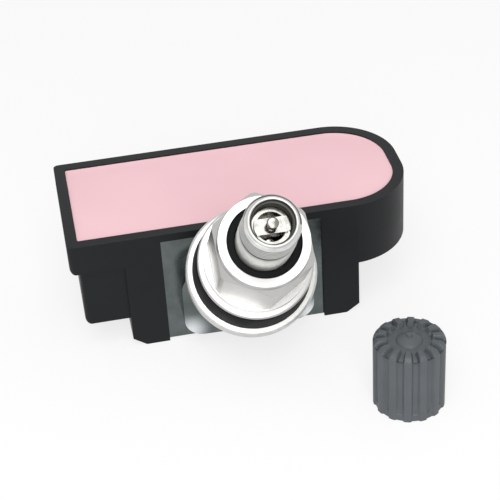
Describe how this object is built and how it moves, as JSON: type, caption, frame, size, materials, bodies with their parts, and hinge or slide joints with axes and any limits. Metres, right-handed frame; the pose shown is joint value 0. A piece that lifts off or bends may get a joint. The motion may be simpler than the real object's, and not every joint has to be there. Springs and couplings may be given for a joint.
{
  "type": "tyre pressure sensor",
  "caption": "Tyre pressure sensor with a potted round-ended housing, a clamp-in metal valve stem with grommet, hex nut and spring core, and a ribbed valve cap taken off.",
  "frame": {"origin": "on the valve stem's axis at the grommet face that seals against the inside of the wheel rim", "axes": "+Z is the normal of the potted face, +X runs along the housing from the square end to the round end, the stem leans from +Z towards -Y by 43 degrees"},
  "size_m": [0.0532, 0.0536, 0.0397],
  "materials": {
    "black_plastic": "satin",
    "pink_potting": "smooth",
    "board": "satin",
    "chip": "matte",
    "grey_rubber": "matte",
    "tin": "satin",
    "ceramic_tan": "matte",
    "brass": "satin",
    "ferrite": "matte",
    "copper_wire": "satin",
    "battery_steel": "satin",
    "bracket_metal": "satin",
    "screw_steel": "satin",
    "stem_aluminium": "satin",
    "black_rubber": "matte",
    "nut_metal": "satin",
    "nickel_brass": "satin",
    "red_seal": "matte",
    "cap_grey": "satin"
  },
  "bodies": {
    "sensor": {"housing": "black_plastic", "potting": "pink_potting", "circuit_board": "board", "sensor_chip": "chip", "port_gasket": "grey_rubber", "crystal": "tin", "chip_capacitors": "ceramic_tan", "antenna_loop": "brass", "coil_core": "ferrite", "coil_winding": "copper_wire", "battery_cell": "battery_steel", "battery_tab_top": "tin", "battery_tab_bottom": "tin", "stem_bracket": "bracket_metal", "stem_screw": "screw_steel", "screw_washer": "screw_steel", "valve_stem": "stem_aluminium", "rim_grommet": "black_rubber", "core_plug": "nickel_brass", "core_barrel": "brass", "core_gasket": "red_seal", "core_spring": "screw_steel", "valve_cap": "cap_grey", "cap_seal": "black_rubber"},
    "washer": {"nut_washer": "nut_metal"},
    "nut": {"hex_nut": "nut_metal", "nut_ring": "black_rubber"},
    "pin": {"core_pin": "nickel_brass", "core_seal": "black_rubber"}
  },
  "joints": [
    {"name": "washer_lift", "type": "slide", "parent": "sensor", "child": "washer", "axis": [0, -0.682, 0.7314], "range_m": [0, 0.007]},
    {"name": "nut_turn", "type": "hinge", "parent": "washer", "child": "nut", "pos_m": [0, 0, 0], "axis": [0, -0.682, 0.7314], "range_deg": [0, 2520]},
    {"name": "pin_press", "type": "slide", "parent": "sensor", "child": "pin", "axis": [0, 0.682, -0.7314], "range_m": [0, 0.0012], "stiffness_N_per_m": 300, "springref_m": -0.002, "deforming": ["core_spring"]}
  ],
  "couplings": [
    {"joint": "washer_lift", "follows": "nut_turn", "m_per_rad": 0.00015915}
  ]
}
